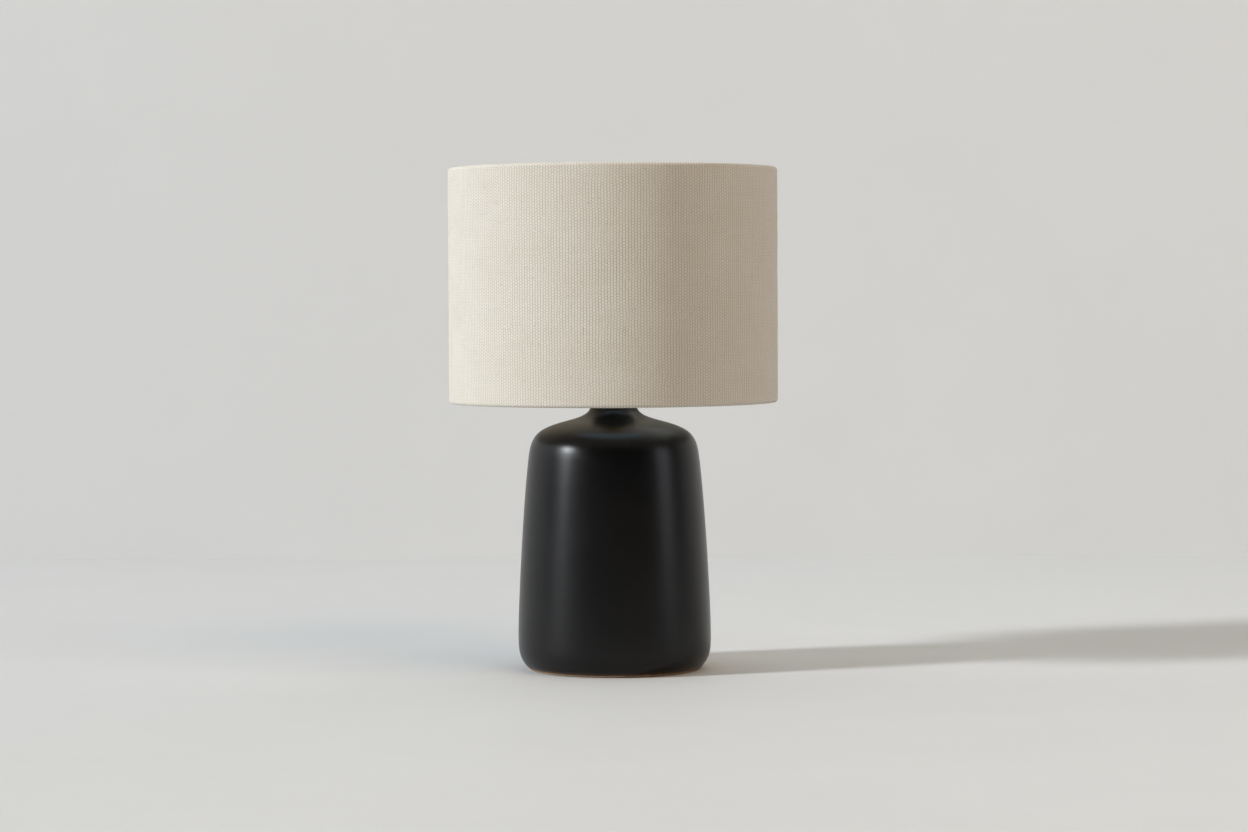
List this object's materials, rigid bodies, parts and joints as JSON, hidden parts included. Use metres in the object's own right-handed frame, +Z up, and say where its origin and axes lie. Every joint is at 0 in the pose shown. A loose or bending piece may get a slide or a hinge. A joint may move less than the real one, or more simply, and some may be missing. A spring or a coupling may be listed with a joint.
{
  "type": "table lamp",
  "caption": "Table lamp: dark glazed bottle-shaped stoneware base with a linen drum shade on a harp, turn-knob socket and LED bulb.",
  "frame": {"origin": "on the table, under the middle of the base", "axes": "+Z up, -Y to the front where the switch knob is, +Y to the back where the cord comes in, the harp stands in the XZ plane"},
  "size_m": [0.33, 0.33, 0.503],
  "materials": {
    "glaze": "satin near-black glaze, bare clay at the foot",
    "felt": "dark pressed felt",
    "black_plastic": "moulded, satin",
    "white_plastic": "moulded, satin",
    "zinc_steel": "zinc plated",
    "black_steel": "satin black enamel",
    "brass": "satin brass",
    "nickel": "nickel plated",
    "card": "insulating card",
    "linen": "coarse oatmeal linen, plain weave with slubs",
    "liner": "matte white styrene sheet",
    "white_wire": "white powder coat",
    "opal": "frosted opal polycarbonate",
    "circuit_board": "white solder mask"
  },
  "bodies": {
    "base": {"ceramic_body": "glaze", "felt_pad": "felt", "cord_bushing": "black_plastic", "bottom_washer": "zinc_steel", "bottom_lock_washer": "zinc_steel", "bottom_nut": "zinc_steel", "lamp_pipe": "zinc_steel", "neck_cap": "black_steel", "neck_locknut": "brass", "harp_saddle": "brass", "harp_wire": "brass", "harp_top_block": "brass", "socket_cap": "brass", "cap_set_screw": "brass", "socket_shell": "brass", "shell_insulator": "card", "socket_core": "white_plastic", "screw_shell": "nickel", "centre_contact": "brass", "hot_terminal_screw": "brass", "neutral_terminal_screw": "nickel"},
    "switch": {"switch_shaft": "brass", "switch_knob": "black_plastic"},
    "bulb": {"bulb_contact": "nickel", "bulb_insulator": "black_plastic", "bulb_screw_shell": "nickel", "bulb_housing": "white_plastic", "bulb_diffuser": "opal", "led_board": "circuit_board", "driver_board": "circuit_board", "driver_capacitor": "black_plastic"},
    "left_ferrule": {"ferrule_left": "brass"},
    "right_ferrule": {"ferrule_right": "brass"},
    "swivel": {"harp_swivel_stud": "brass"},
    "shade": {"shade_fabric": "linen", "shade_liner": "liner", "shade_top_ring": "white_wire", "shade_bottom_ring": "white_wire", "spider_washer": "white_wire", "spider_arm_1": "white_wire", "spider_arm_2": "white_wire", "spider_arm_3": "white_wire"},
    "finial": {"finial": "brass"}
  },
  "joints": [
    {"name": "switch_turn", "type": "hinge", "parent": "base", "child": "switch", "pos_m": [0, -0.02, 0.3181], "axis": [0, 1, 0], "continuous": true},
    {"name": "bulb_unscrew", "type": "hinge", "parent": "base", "child": "bulb", "pos_m": [0, 0, 0.35], "axis": [0, 0, 1], "range_deg": [0, 1260]},
    {"name": "left_ferrule_lift", "type": "slide", "parent": "base", "child": "left_ferrule", "axis": [0, 0, 1], "range_m": [0, 0.016]},
    {"name": "right_ferrule_lift", "type": "slide", "parent": "base", "child": "right_ferrule", "axis": [0, 0, 1], "range_m": [0, 0.016]},
    {"name": "shade_turn", "type": "hinge", "parent": "base", "child": "swivel", "pos_m": [0, 0, 0.482], "axis": [0, 0, 1], "continuous": true},
    {"name": "shade_lift", "type": "slide", "parent": "swivel", "child": "shade", "axis": [0, 0, 1], "range_m": [0, 0.23]},
    {"name": "finial_unscrew", "type": "hinge", "parent": "shade", "child": "finial", "pos_m": [0, 0, 0.49], "axis": [0, 0, 1], "range_deg": [0, 3600]}
  ]
}
